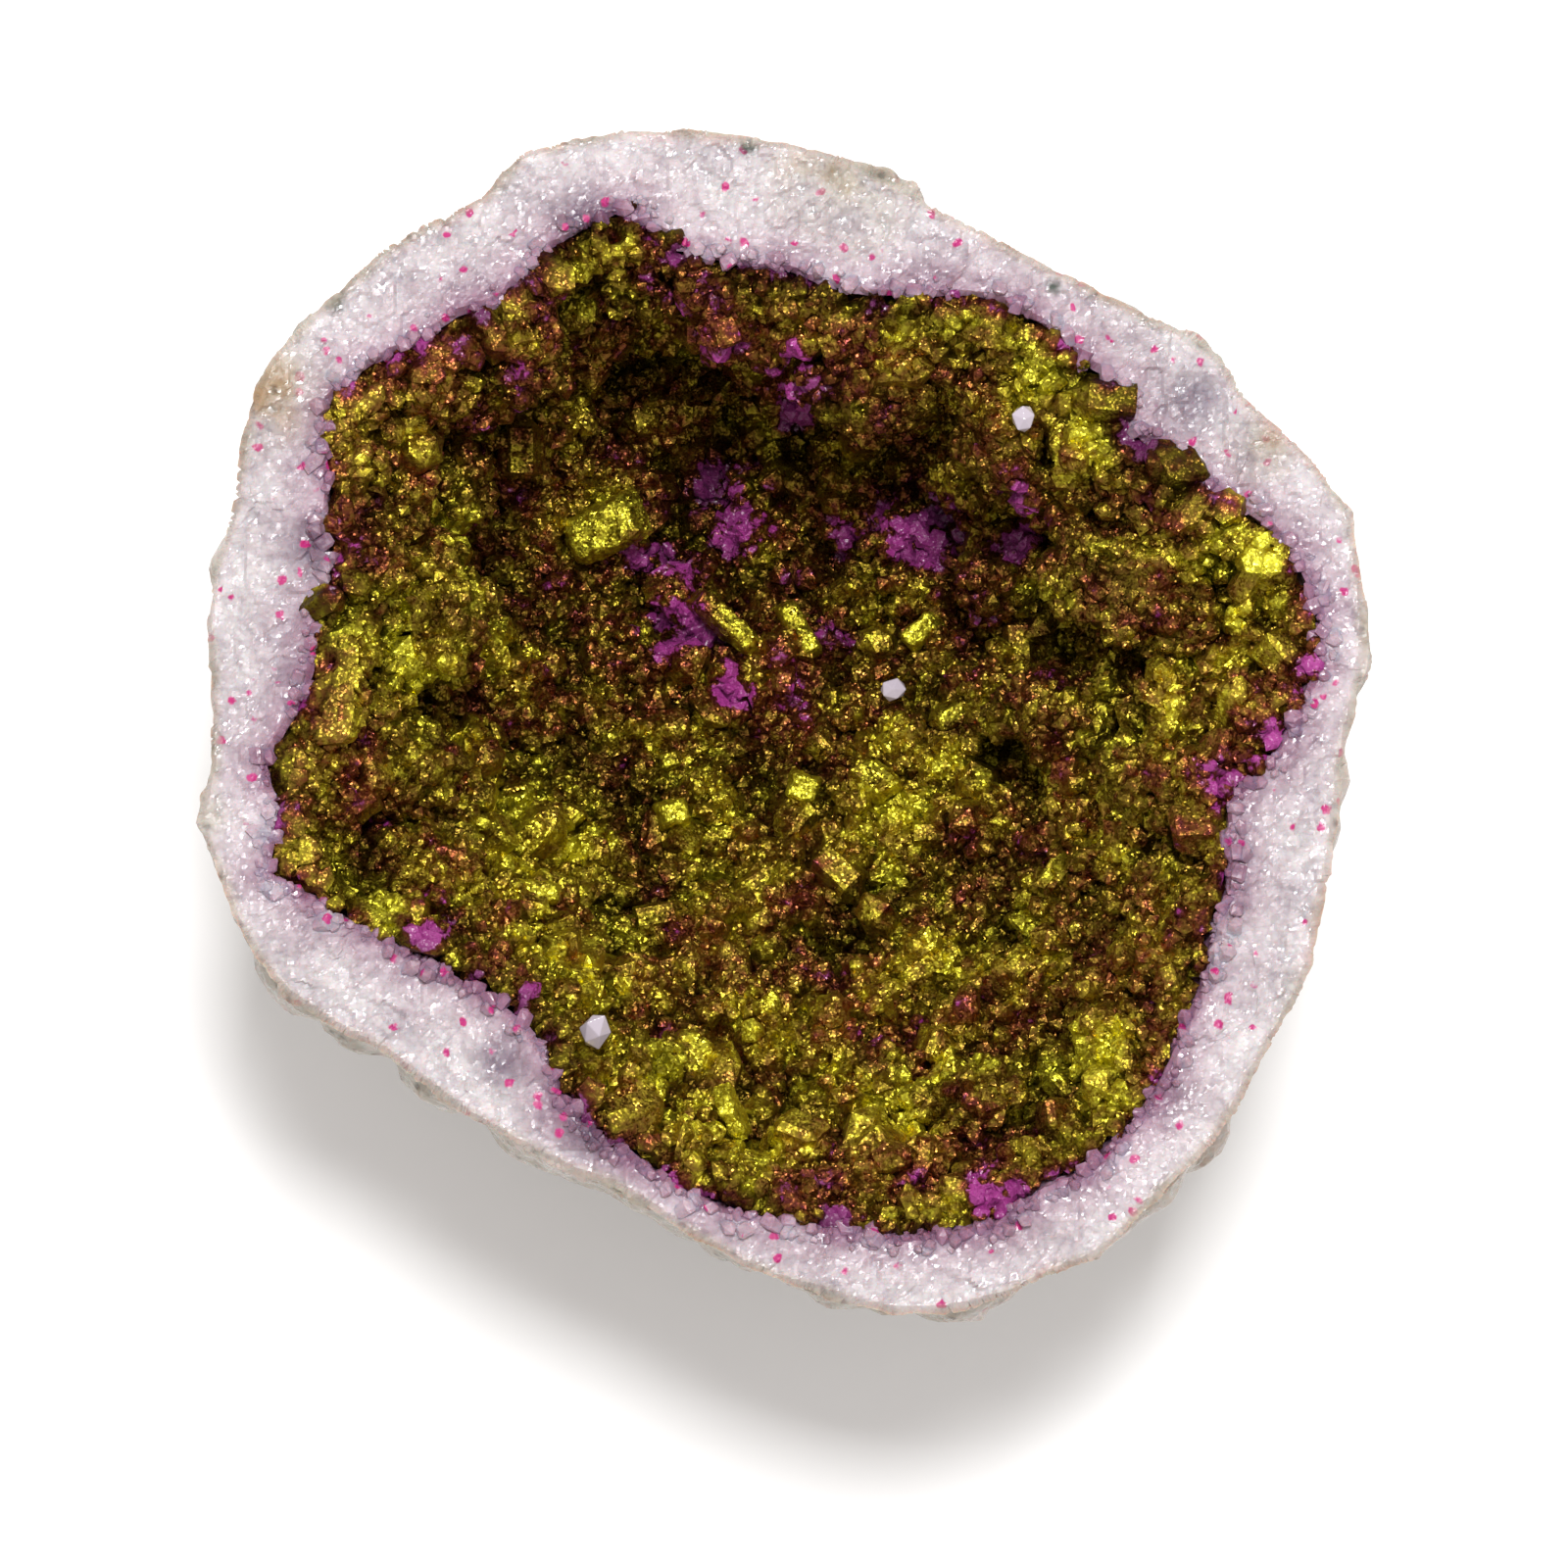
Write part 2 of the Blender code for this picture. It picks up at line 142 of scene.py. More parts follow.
def break_up(piece, size, lean, keep=lambda vert: True):
    """Breaks a surface into flat facets of about that size, each leaning its own way."""
    broken = [(vert, vert.normal.copy()) for vert in piece.data.vertices if keep(vert)]
    for vert, normal in broken:
        cell = noise.voronoi(vert.co / size)[1][0]
        tip = noise.cell_vector(cell * 97.0) - Vector((0.5, 0.5, 0.5))
        vert.co += normal * lean * 2.0 * tip.dot(vert.co - cell * size)


def stay_within(piece):
    """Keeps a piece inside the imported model's box, easing its peaks in below the top."""
    eased_from = cad_high.z - TOP_EASE
    for vert in piece.data.vertices:
        x, y, z = vert.co
        if z > eased_from:
            z = cad_high.z - TOP_EASE * math.exp((eased_from - z) / TOP_EASE)
        vert.co = (
            min(cad_high.x, max(cad_low.x, x)),
            min(cad_high.y, max(cad_low.y, y)),
            max(cad_low.z, z),
        )


def surface_of(mesh, keep=lambda face: True):
    """The faces of a mesh that keep picks, as a surface to measure distances from."""
    faces = [tuple(face.vertices) for face in mesh.polygons if keep(face)]
    return BVHTree.FromPolygons([vert.co for vert in mesh.vertices], faces)


def is_broken(face):
    """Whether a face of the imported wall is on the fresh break."""
    return face.normal.z > BROKEN_SLOPE and face.center.z > BROKEN_LEVEL


def faces_hollow(face):
    """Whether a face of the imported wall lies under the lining."""
    return lining.find_nearest(face.center, LINED_WITHIN)[0] is not None


def corners(keep):
    """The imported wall's points, by place, on its faces that keep picks."""
    found = {number for face in cad_wall.polygons if keep(face) for number in face.vertices}
    return {tuple(round(c, 6) for c in cad_wall.vertices[number].co): cad_wall.vertices[number].co
            for number in found}


def measure(piece, name, distance_from):
    """Keeps, at every point of a piece, its distance in mm from something."""
    found = piece.data.attributes.new(name, "FLOAT", "POINT")
    found.data.foreach_set("value", [distance_from(vert.co) / MM for vert in piece.data.vertices])


def from_rim(spot):
    """Distance to the line where the hollow meets the broken face."""
    return rim_line.find(spot)[2]


def above(surface):
    """Says how far a spot stands above a surface; below it is negative."""
    def height(spot):
        nearest, normal, _, _ = surface.find_nearest(spot)
        return (spot - nearest).dot(normal)
    return height


cad_wall = frame["nodes"]["stone_wall"].data
cad_lining = frame["nodes"]["crystal_lining"].data
lining = surface_of(cad_lining)
on_break = corners(is_broken)
on_hollow = corners(lambda face: not is_broken(face) and faces_hollow(face))
rim_spots = [on_hollow[place] for place in sorted(on_hollow) if place in on_break]
rim_line = KDTree(len(rim_spots))
for number, spot in enumerate(rim_spots):
    rim_line.insert(spot, number)
rim_line.balance()

above_bed = above(surface_of(
    cad_lining, lambda face: face.normal.dot(HOLLOW_MIDDLE - face.center) > 0))
bed = worked_copy("crystal_lining", "crystal_bed", BED_GRAIN)
below_rim = bed.vertex_groups.new(name="below_rim")
for vert in bed.data.vertices:
    share = (from_rim(vert.co) / MM - CLUMPS_START) / (CLUMPS_FULL - CLUMPS_START)
    below_rim.add([vert.index], min(1.0, max(0.0, share)), "REPLACE")
apply(bed, "DISPLACE", strength=BED_OVERLAP, mid_level=0.0)
for kind, spacing, height, middle in CLUMPS:
    roughen(bed, kind, spacing, height, middle, "below_rim")
break_up(bed, BED_FACET, BED_LEAN)


# ---------------------------------------------------------------------------------------------
# The bed's own crystals. Thousands of stubby quartz crystals stand on the crust, 0.4 to 3 mm
# long, each leaning its own way. Three habits about 1 unit long, a six-sided point, a leaning
# block and a rough nugget, are modelled once each and sown over the bed in every size.
POINT_RADIUS = 0.46
POINT_LENGTH = 0.9
POINT_TIP = (0.06, 0.04, 0.36)     # the point's pyramid: its height, with its tip off the middle
TIP_WIDTH = (0.12, 0.2, 1.0)       # it ends in a short edge
BLOCK_SIDES = (0.95, 0.75, 0.8)
BLOCK_BEVEL = 0.14
BLOCK_LEAN = 0.3
NUGGET_SIDES = (1.0, 0.8, 0.9)
CLEARANCE = 0.7 * MM           # no grain stands closer to a single crystal or a chip
SINGLE_CRYSTALS = [
    "bright_plate", "long_blade", "short_blade", "near_blade", "left_bar", "floor_block",
    "left_floor_block", "near_floor_block",
]
CHIPS = ["upper_chip", "left_chip", "floor_chip"]

habits = bpy.data.collections.new("crystal_habits")
grains = bpy.data.collections.new("grain_habits")


def keep_habit(name):
    """Puts the crystal just modelled away among the habits, off the scene."""
    made = bpy.context.object
    made.name = name
    habits.objects.link(made)
    scene.collection.objects.unlink(made)


bpy.ops.mesh.primitive_cylinder_add(
    vertices=6, radius=POINT_RADIUS, depth=POINT_LENGTH, location=(0, 0, 0))
bpy.ops.object.mode_set(mode="EDIT")
bpy.ops.mesh.select_all(action="DESELECT")
bpy.ops.object.mode_set(mode="OBJECT")
for face in bpy.context.object.data.polygons:
    face.select = face.normal.z > 0.9
bpy.ops.object.mode_set(mode="EDIT")
bpy.ops.mesh.select_mode(type="FACE")
bpy.ops.mesh.extrude_region_move(TRANSFORM_OT_translate={"value": POINT_TIP})
bpy.ops.transform.resize(value=TIP_WIDTH)
bpy.ops.object.mode_set(mode="OBJECT")
keep_habit("habit_point")

bpy.ops.mesh.primitive_cube_add(size=1.0, location=(0, 0, 0))
bpy.ops.object.mode_set(mode="EDIT")
bpy.ops.mesh.select_all(action="SELECT")
bpy.ops.transform.resize(value=BLOCK_SIDES)
bpy.ops.mesh.bevel(offset=BLOCK_BEVEL, segments=1, affect="EDGES")
bpy.ops.object.mode_set(mode="OBJECT")
for vert in bpy.context.object.data.vertices:
    vert.co.x += BLOCK_LEAN * vert.co.z
keep_habit("habit_block")

bpy.ops.mesh.primitive_ico_sphere_add(subdivisions=1, radius=0.5, location=(0, 0, 0))
bpy.ops.object.mode_set(mode="EDIT")
bpy.ops.mesh.select_all(action="SELECT")
bpy.ops.transform.resize(value=NUGGET_SIDES)
bpy.ops.object.mode_set(mode="OBJECT")
keep_habit("habit_nugget")
grains.objects.link(habits.objects["habit_nugget"])


def srgb(code):
    """A colour written as sRGB hex, in the linear values that a shader takes."""
    parts = [int(code[i:i + 2], 16) / 255 for i in (1, 3, 5)]
    return tuple(c / 12.92 if c <= 0.04045 else ((c + 0.055) / 1.055) ** 2.4 for c in parts) + (1.0,)


def add(tree, kind, settings=(), stops=(), **inputs):
    """Adds a node. Inputs are values, sockets or nodes, named or by number; stops fill a ramp."""
    made = tree.nodes.new(kind)
    for name, value in dict(settings).items():
        setattr(made, name, value)
    for name, value in inputs.items():
        socket = made.inputs[int(name[1:]) if name[0] == "_" else name.replace("_", " ")]
        if isinstance(value, bpy.types.Node):
            value = value.outputs[0]
        if isinstance(value, bpy.types.NodeSocket):
            tree.links.new(value, socket)
        else:
            socket.default_value = value
    for number, (position, tone) in enumerate(stops):
        if number == len(made.color_ramp.elements):
            made.color_ramp.elements.new(1.0)
        point = made.color_ramp.elements[number]
        point.position = position
        point.color = srgb(tone) if isinstance(tone, str) else (tone, tone, tone, 1.0)
    return made


def sow(name, piece, keep, density, sizes, tilt, seed, rarity, kinds=habits):
    """Sows crystals over the faces of a piece that keep picks, so many to the square mm.

    Each leans by up to tilt, in radians, and the higher the rarity, the fewer are large.
    """
    soil = bmesh.new()
    soil.from_mesh(piece.data)
    bmesh.ops.delete(soil, geom=[face for face in soil.faces if not keep(face)], context="FACES")
    sown = bpy.data.objects.new(name, bpy.data.meshes.new(name))
    soil.to_mesh(sown.data)
    soil.free()
    scene.collection.objects.link(sown)

    net = bpy.data.node_groups.new(f"sow_{name}", "GeometryNodeTree")
    net.interface.new_socket("Geometry", in_out="INPUT", socket_type="NodeSocketGeometry")
    net.interface.new_socket("Geometry", in_out="OUTPUT", socket_type="NodeSocketGeometry")
    spots = add(net, "GeometryNodeDistributePointsOnFaces", Mesh=add(net, "NodeGroupInput"),
                Density=density / MM ** 2, Seed=seed)
    shapes = add(net, "GeometryNodeCollectionInfo", Collection=kinds, Separate_Children=True,
                 Reset_Children=True)
    lean = add(net, "FunctionNodeRandomValue", {"data_type": "FLOAT_VECTOR"}, Seed=seed + 1,
               _0=(-tilt, -tilt, 0.0), _1=(tilt, tilt, math.tau))
    turned = add(net, "FunctionNodeRotateRotation", {"rotation_space": "LOCAL"},
                 _0=spots.outputs["Rotation"], _1=lean)
    chance = add(net, "FunctionNodeRandomValue", {"data_type": "FLOAT"}, Seed=seed + 2,
                 _2=0.0, _3=1.0)
    rare = add(net, "ShaderNodeMath", {"operation": "POWER"}, _0=chance.outputs[1], _1=rarity)
    size = add(net, "ShaderNodeMapRange", _0=rare, _3=sizes[0], _4=sizes[1])
    crystals = add(net, "GeometryNodeInstanceOnPoints", Points=spots, Instance=shapes,
                   Pick_Instance=True, Rotation=turned, Scale=size)
    tone = add(net, "FunctionNodeRandomValue", {"data_type": "FLOAT"}, Seed=seed + 3,
               _2=-1.0, _3=1.0)
    toned = add(net, "GeometryNodeStoreNamedAttribute",
                {"data_type": "FLOAT", "domain": "INSTANCE"},
                Geometry=crystals, Name="tone", Value=tone.outputs[1])
    add(net, "NodeGroupOutput", _0=add(net, "GeometryNodeRealizeInstances", Geometry=toned))
    apply(sown, "NODES", node_group=net)
    return sown


in_sight = [                   # what no grain may cover: the single crystals and the chips
    surface_of(frame["nodes"][node].data) for node in SINGLE_CRYSTALS + CHIPS
]


def takes_grains(face):
    """Whether a face looks into the hollow and no single crystal stands close to it."""
    middle = face.calc_center_median()
    if face.normal.dot(HOLLOW_MIDDLE - middle) < 0:
        return False
    return all(surface.find_nearest(middle, CLEARANCE)[0] is None for surface in in_sight)


small = sow("bed_grains", bed, takes_grains, density=1.25, sizes=(0.6 * MM, 1.7 * MM),
            tilt=0.7, seed=11, rarity=1.5, kinds=grains)
roughen(small, "CLOUDS", spacing=0.5 * MM, height=0.7 * MM)
fines = sow("bed_fine_grains", bed, takes_grains, density=0.8, sizes=(0.4 * MM, 0.8 * MM),
            tilt=0.7, seed=17, rarity=1.0, kinds=grains)
roughen(fines, "CLOUDS", spacing=0.4 * MM, height=0.4 * MM)
large = sow("bed_crystals", bed, takes_grains, density=0.12, sizes=(1.4 * MM, 3.2 * MM),
            tilt=0.8, seed=23, rarity=3.0)
apply(large, "SUBSURF", subdivision_type="SIMPLE", levels=1, render_levels=1)
roughen(large, "CLOUDS", spacing=0.9 * MM, height=0.5 * MM)

# Dried dye film on quartz. The half was soaked in a magenta dye that dried to a thin film. Where
# the film is thick it shines green-gold like metal, where it is thinner it is coppery, and where
# it has run off the magenta shows. It is thin along the hollow's edge and in part of its depth, where
# one spot of thinner film is painted shade. Painted shade also darkens it low in the hollow and in
# crevices, and painted light brightens what stands proud.
FILM_BROAD = 8.0 * MM          # how widely the film's thickness wanders
FILM_PATCHES = 2.2 * MM        # from crystal to crystal
FILM_FLECKS = 0.4 * MM         # and on one crystal
COARSE_FACET = 0.5 * MM        # growth steps on a crystal's faces
FINE_FACET = 0.13 * MM         # the film's sparkle, drawn as coarse as it needs to be to show
FILM_EDGE = (0.2, 1.6)         # it is thin between these distances from the hollow's edge, in mm
DEEP = (12.0 * MM, 30.0 * MM)  # levels between which painted shade fades out upwards, darkest low in the hollow
DEEP_SHADE = 0.85
CREVICE = (-1.2, 1.4)          # painted shade darkens what lies below the bed's own level and painted light brightens what stands above it, between these heights in mm
CREVICE_SHADE = (0.38, 1.3)
BARE_SPOTS = [                 # where the film has run off: x, y and radius in mm
    (-6.6, 9.0, 2.6), (-3.2, 17.6, 1.8), (-2.4, 14.0, 1.7), (-8.6, 12.6, 1.3),
    (8.1, 13.9, 2.2), (4.0, 14.2, 1.4), (-3.0, 4.6, 1.4), (0.6, 21.4, 1.2),
    (-21.0, -12.0, 1.7), (14.4, 12.6, 1.3), (-4.8, -28.8, 1.8), (12.4, -28.6, 1.8),
]
COPPERY_AND_SHADE_SPOTS = [(-2.0, 14.0, 13.0), (-16.5, 19.5, 6.5)]   # where the film is lowered, turning it coppery and darker; the second spot is painted shade in the pocket under the far-left ledge


def new_finish(name, **constants):
    """A new material with its Principled shader, whose constants are set on its own sockets."""
    finish = bpy.data.materials.new(name)
    finish.use_nodes = True
    tree = finish.node_tree
    shader = tree.nodes["Principled BSDF"]
    for socket, value in constants.items():
        shader.inputs[socket.replace("_", " ")].default_value = value
    place = tree.nodes.new("ShaderNodeTexCoord").outputs["Object"]
    return finish, tree, shader, place


def facets(tree, place, size, lean):
    """Height of a surface broken into flat facets of about that size, each leaning its own way."""
    cells = add(tree, "ShaderNodeTexVoronoi", Vector=place, Scale=1.0 / size)
    away = add(tree, "ShaderNodeVectorMath", {"operation": "SUBTRACT"}, _0=place,
               _1=cells.outputs["Position"])
    tips = add(tree, "ShaderNodeVectorMath", {"operation": "SUBTRACT"},
               _0=cells.outputs["Color"], _1=(0.5, 0.5, 0.5))
    flat = add(tree, "ShaderNodeVectorMath", {"operation": "DOT_PRODUCT"}, _0=away, _1=tips)
    return add(tree, "ShaderNodeMath", {"operation": "MULTIPLY"},
               _0=flat.outputs["Value"], _1=lean)


def near_spots(tree, place, spots):
    """1 on any of the spots (x, y and radius in mm, seen from above), fading to 0 around them."""
    flat = add(tree, "ShaderNodeVectorMath", {"operation": "MULTIPLY"}, _0=place,
               _1=(1.0, 1.0, 0.0))
    found = 0.0
    for x, y, radius in spots:
        away = add(tree, "ShaderNodeVectorMath", {"operation": "DISTANCE"}, _0=flat,
                   _1=(x * MM, y * MM, 0.0))
        mark = add(tree, "ShaderNodeMapRange", _0=away.outputs["Value"], _1=0.3 * radius * MM,
                   _2=1.5 * radius * MM, _3=1.0, _4=0.0)
        found = add(tree, "ShaderNodeMath", {"operation": "MAXIMUM"}, _0=found, _1=mark)
    return found


def dye_film(name, green=0.0):
    """Dried dye on quartz, with painted shade and painted light by depth and height: green raises the
    share of bright green-gold.
    """
    finish, tree, shader, place = new_finish(name, IOR=1.55)
    tone = add(tree, "ShaderNodeAttribute", {"attribute_name": "tone"}).outputs["Fac"]
    rim = add(tree, "ShaderNodeAttribute", {"attribute_name": "from_rim"}).outputs["Fac"]
    proud = add(tree, "ShaderNodeAttribute", {"attribute_name": "proud"}).outputs["Fac"]
    broad = add(tree, "ShaderNodeTexNoise", Vector=place, Scale=1.0 / FILM_BROAD, Detail=2.0)
    patches = add(tree, "ShaderNodeTexNoise", Vector=place, Scale=1.0 / FILM_PATCHES, Detail=4.0)
    flecks = add(tree, "ShaderNodeTexNoise", Vector=place, Scale=1.0 / FILM_FLECKS, Detail=2.0)

    # How thick the film is, from 0 where it is bare to 1 where it is thickest.
    film = add(tree, "ShaderNodeMix", {"data_type": "FLOAT"}, _0=0.5, _2=broad, _3=patches)
    film = add(tree, "ShaderNodeMapRange", _0=film, _1=0.31 - green, _2=0.65 - green)
    film = add(tree, "ShaderNodeMath", {"operation": "MULTIPLY_ADD"}, _0=tone, _1=0.13, _2=film)
    film = add(tree, "ShaderNodeMath", {"operation": "ADD"}, _0=film, _1=-0.30)
    film = add(tree, "ShaderNodeMath", {"operation": "MULTIPLY_ADD"}, _0=flecks, _1=0.7, _2=film)
    edge = add(tree, "ShaderNodeMapRange", _0=rim, _1=FILM_EDGE[0], _2=FILM_EDGE[1],
               _3=0.55, _4=0.0)
    bare = add(tree, "ShaderNodeMath", {"operation": "MAXIMUM"},
               _0=near_spots(tree, place, BARE_SPOTS), _1=edge)
    patchy = add(tree, "ShaderNodeMapRange", _0=patches, _1=0.35, _2=0.6, _3=1.3, _4=0.1)
    bare = add(tree, "ShaderNodeMath", {"operation": "MULTIPLY"}, _0=bare, _1=patchy)
    film = add(tree, "ShaderNodeMath", {"operation": "SUBTRACT"}, _0=film, _1=bare)
    # Lowering the film in these spots turns it coppery and darker; in the pocket under the far-left
    # ledge this is painted shade.
    coppery_and_shade_drop = add(tree, "ShaderNodeMath", {"operation": "MULTIPLY"},
               _0=near_spots(tree, place, COPPERY_AND_SHADE_SPOTS), _1=0.22)
    film = add(tree, "ShaderNodeMath", {"operation": "SUBTRACT"}, _0=film, _1=coppery_and_shade_drop)

    # Its colour runs from magenta through copper to green-gold, with painted shade low in the hollow
    # and in crevices, and painted light on what stands proud.
    colour = add(tree, "ShaderNodeValToRGB", _0=film, stops=[
        (0.00, "#92307a"), (0.05, "#6f2152"), (0.12, "#642b2e"), (0.30, "#7c4829"),
        (0.52, "#86692a"), (0.74, "#a08d2c"), (1.00, "#cdc53a")])
    metal = add(tree, "ShaderNodeValToRGB", _0=film, stops=[(0.04, 0.0), (0.14, 1.0)])
    # Painted shade: the colour is darkened low in the hollow and in crevices, and painted light
    # brightens what stands proud.
    depth = add(tree, "ShaderNodeSeparateXYZ", Vector=place).outputs["Z"]
    painted_depth_shade = add(tree, "ShaderNodeMapRange", _0=depth, _1=DEEP[0], _2=DEEP[1],
               _3=DEEP_SHADE, _4=1.0)
    painted_crevice_shade = add(tree, "ShaderNodeMapRange", _0=proud, _1=CREVICE[0], _2=CREVICE[1],
                  _3=CREVICE_SHADE[0], _4=CREVICE_SHADE[1])
    shade = add(tree, "ShaderNodeMath", {"operation": "MULTIPLY"}, _0=painted_depth_shade, _1=painted_crevice_shade)
    colour = add(tree, "ShaderNodeVectorMath", {"operation": "SCALE"}, _0=colour, Scale=shade)

    rough = add(tree, "ShaderNodeMapRange", _0=flecks, _1=0.3, _2=0.7, _3=0.27, _4=0.52)
    relief = add(tree, "ShaderNodeMath", {"operation": "ADD"},
                 _0=facets(tree, place, COARSE_FACET, 0.25),
                 _1=facets(tree, place, FINE_FACET, 0.75))
    bump = add(tree, "ShaderNodeBump", Strength=1.0, Distance=1.0, Height=relief)
    tree.links.new(colour.outputs[0], shader.inputs["Base Color"])
    tree.links.new(metal.outputs[0], shader.inputs["Metallic"])
    tree.links.new(rough.outputs[0], shader.inputs["Roughness"])
    tree.links.new(bump.outputs[0], shader.inputs["Normal"])
    return finish


def settle(piece, finish, slot, *nodes):
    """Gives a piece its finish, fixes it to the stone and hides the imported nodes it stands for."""
    stay_within(piece)
    if slot != "white_quartz":
        measure(piece, "from_rim", from_rim)
    piece.data.materials.clear()
    piece.data.materials.append(finish)
    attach(piece, "root")
    if nodes:
        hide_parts(*nodes)


dyed = dye_film("dried_dye_film")
# How far each point stands proud of the bed drives the film's painted crevice shade and painted
# light.
for piece in (bed, small, fines, large):
    measure(piece, "proud", above_bed)
settle(bed, dyed, "dyed_druse", "crystal_lining")
settle(small, dyed, "dyed_druse")
settle(fines, dyed, "dyed_druse")
settle(large, dyed, "dyed_druse")


# ---------------------------------------------------------------------------------------------
# Clusters. Groups of crystals grew together and stand out of the bed as knobs, shelves and
# overhangs, under the same dye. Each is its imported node, made lumpy, with a crust of its own
# small crystals joined to it.
CLUSTERS = [
    "shoulder_cluster", "knob_cluster", "peak_cluster", "peak_side_cluster", "shaded_cluster",
    "left_cluster", "left_low_cluster", "lower_left_cluster", "upper_shelf_cluster",
    "jagged_shelf_cluster", "overhang_cluster", "hanging_cluster", "small_right_cluster",
    "right_wall_cluster", "right_ledge_cluster", "near_right_cluster", "near_lump_cluster",
    "near_left_cluster",
]
CLUSTER_GRAIN = 0.28 * MM
FIRST_CLUSTER_SEED = 40
for number, node in enumerate(CLUSTERS):
    lump = worked_copy(node, f"{node}_crystals", CLUSTER_GRAIN)
    roughen(lump, "CLOUDS", spacing=3.0 * MM, height=1.4 * MM, level=0.6)
    roughen(lump, "VORONOI", spacing=2.4 * MM, height=1.8 * MM, level=0.4)
    crust = sow(f"{node}_crust", lump, lambda face: True, density=1.3,
                sizes=(0.7 * MM, 1.7 * MM), tilt=0.7, seed=FIRST_CLUSTER_SEED + number,
                rarity=1.5, kinds=grains)
    roughen(crust, "CLOUDS", spacing=0.5 * MM, height=0.7 * MM)
    only(lump)
    crust.select_set(True)
    bpy.ops.object.join()
    measure(lump, "proud", above(surface_of(frame["nodes"][node].data)))
    settle(lump, dyed, "dyed_druse", node)


# ---------------------------------------------------------------------------------------------
# Single crystals. A few quartz crystals outgrew the rest: a bright plate and flat blades that
# lie across the bed, a short bar, and blocks on the floor. They are fused to the bed, and the
# dye dried thickest on their flat faces, so most of each is bright green-gold.
SINGLE_GRAIN = 0.15 * MM
gilded = dye_film("bright_dye_film", green=0.2)
for node in SINGLE_CRYSTALS:
    single = worked_copy(node, f"{node}_crystal", SINGLE_GRAIN)
    roughen(single, "VORONOI", spacing=0.9 * MM, height=0.2 * MM, metric="MANHATTAN")
    measure(single, "proud", above_bed)
    settle(single, gilded, "gilded_crystal", node)


# ---------------------------------------------------------------------------------------------
# Loose chips. Three splinters of clear quartz broke off the rim and lie in the hollow, wedged
# among the crystals. They have no dye on them, so they are pale, glassy and sharp-edged.
CHIP_GRAIN = 0.06 * MM
CHIP_LIFT = 0.9 * MM           # they lie on top of the grains, which stand out of the bed
# Clear quartz, freshly broken: colourless and glossy, and pale where many cracks scatter light.
chip_finish, tree, shader, place = new_finish(
    "clear_quartz", Base_Color=srgb("#b5abb6"), Roughness=0.15, IOR=1.54)
for node in CHIPS:
    chip = worked_copy(node, f"{node}_quartz", CHIP_GRAIN)
    for vert in chip.data.vertices:
        vert.co.z += CHIP_LIFT
    settle(chip, chip_finish, "clear_quartz", node)


# ---------------------------------------------------------------------------------------------
# The stone wall. A shell of white, sugar-grained quartz, broken across with a hammer, with a
# thin skin of grey-tan limestone fused to its outside. The break is in flat facets; the back is
# knobbly and weathered. Where the quartz was free to grow, at the hollow, its crystals show.
WALL_GRAIN = 0.8 * MM          # halved twice over the fresh break
FRESH_CUTS = 2
CUT_FROM = 30.5 * MM           # what faces up above this level is cut finer
CUT_SLOPE = 0.2
FRESH_LEVELS = (29.5 * MM, 32.0 * MM)  # the break begins between these levels
FRESH_SLOPES = (0.05, 0.4)     # and where the surface faces up this much
FRESH_ENOUGH = 0.4             # above this share of freshness the facets of the break show
FOOT_FADES = 4.0 * MM          # the knobs of the back die away towards the flat foot
THIN_WALL = 5.0 * MM           # and where the wall is thinner than this
RIM_CRYSTALS = 1.0 * MM        # how far from the hollow the rim's own crystals reach

skin = surface_of(cad_wall, lambda face: not is_broken(face) and not faces_hollow(face))
hollow = surface_of(cad_wall, lambda face: not is_broken(face) and faces_hollow(face))


def share_between(value, ends):
    """How far a value is between two ends, from 0 to 1."""
    return min(1.0, max(0.0, (value - ends[0]) / (ends[1] - ends[0])))


def freshness(vert):
    """1 on the fresh break, fading to 0 over its outer edge on to the weathered back."""
    return share_between(vert.co.z, FRESH_LEVELS) * share_between(vert.normal.z, FRESH_SLOPES)


def is_fresh(vert):
    """Whether a point of the wall is on the fresh break."""
    return freshness(vert) > FRESH_ENOUGH


def at_hollow_edge(face):
    """Whether a face of the wall looks up beside the hollow."""
    return face.normal.z > 0.1 and from_rim(face.calc_center_median()) < RIM_CRYSTALS


def measure_wall(piece):
    """Keeps how far each point is from the limestone skin and from the hollow."""
    measure(piece, "from_skin", lambda spot: skin.find_nearest(spot)[3])
    measure(piece, "from_hollow", lambda spot: hollow.find_nearest(spot)[3])


wall = worked_copy("stone_wall", "quartz_wall", WALL_GRAIN)
apply(wall, "SMOOTH", factor=0.5, iterations=4)
for cut in range(FRESH_CUTS):
    only(wall)
    for face in wall.data.polygons:
        face.select = face.center.z > CUT_FROM and face.normal.z > CUT_SLOPE
    bpy.ops.object.mode_set(mode="EDIT")
    bpy.ops.mesh.select_mode(type="FACE")
    bpy.ops.mesh.subdivide(number_cuts=1)
    bpy.ops.object.mode_set(mode="OBJECT")
apply(wall, "SHRINKWRAP", target=frame["nodes"]["stone_wall"])
measure_wall(wall)
weathered = wall.vertex_groups.new(name="weathered")
for vert in wall.data.vertices:
    thickness = hollow.find_nearest(vert.co)[3]
    weight = min(1.0 - freshness(vert), vert.co.z / FOOT_FADES, thickness / THIN_WALL)
    weathered.add([vert.index], weight, "REPLACE")
roughen(wall, "CLOUDS", spacing=7.0 * MM, height=1.2 * MM, group="weathered")
roughen(wall, "VORONOI", spacing=6.5 * MM, height=2.2 * MM, level=0.3, group="weathered")
roughen(wall, "VORONOI", spacing=2.2 * MM, height=0.6 * MM, level=0.4, group="weathered")
roughen(wall, "CLOUDS", spacing=1.8 * MM, height=0.5 * MM)
break_up(wall, size=3.4 * MM, lean=0.03, keep=is_fresh)
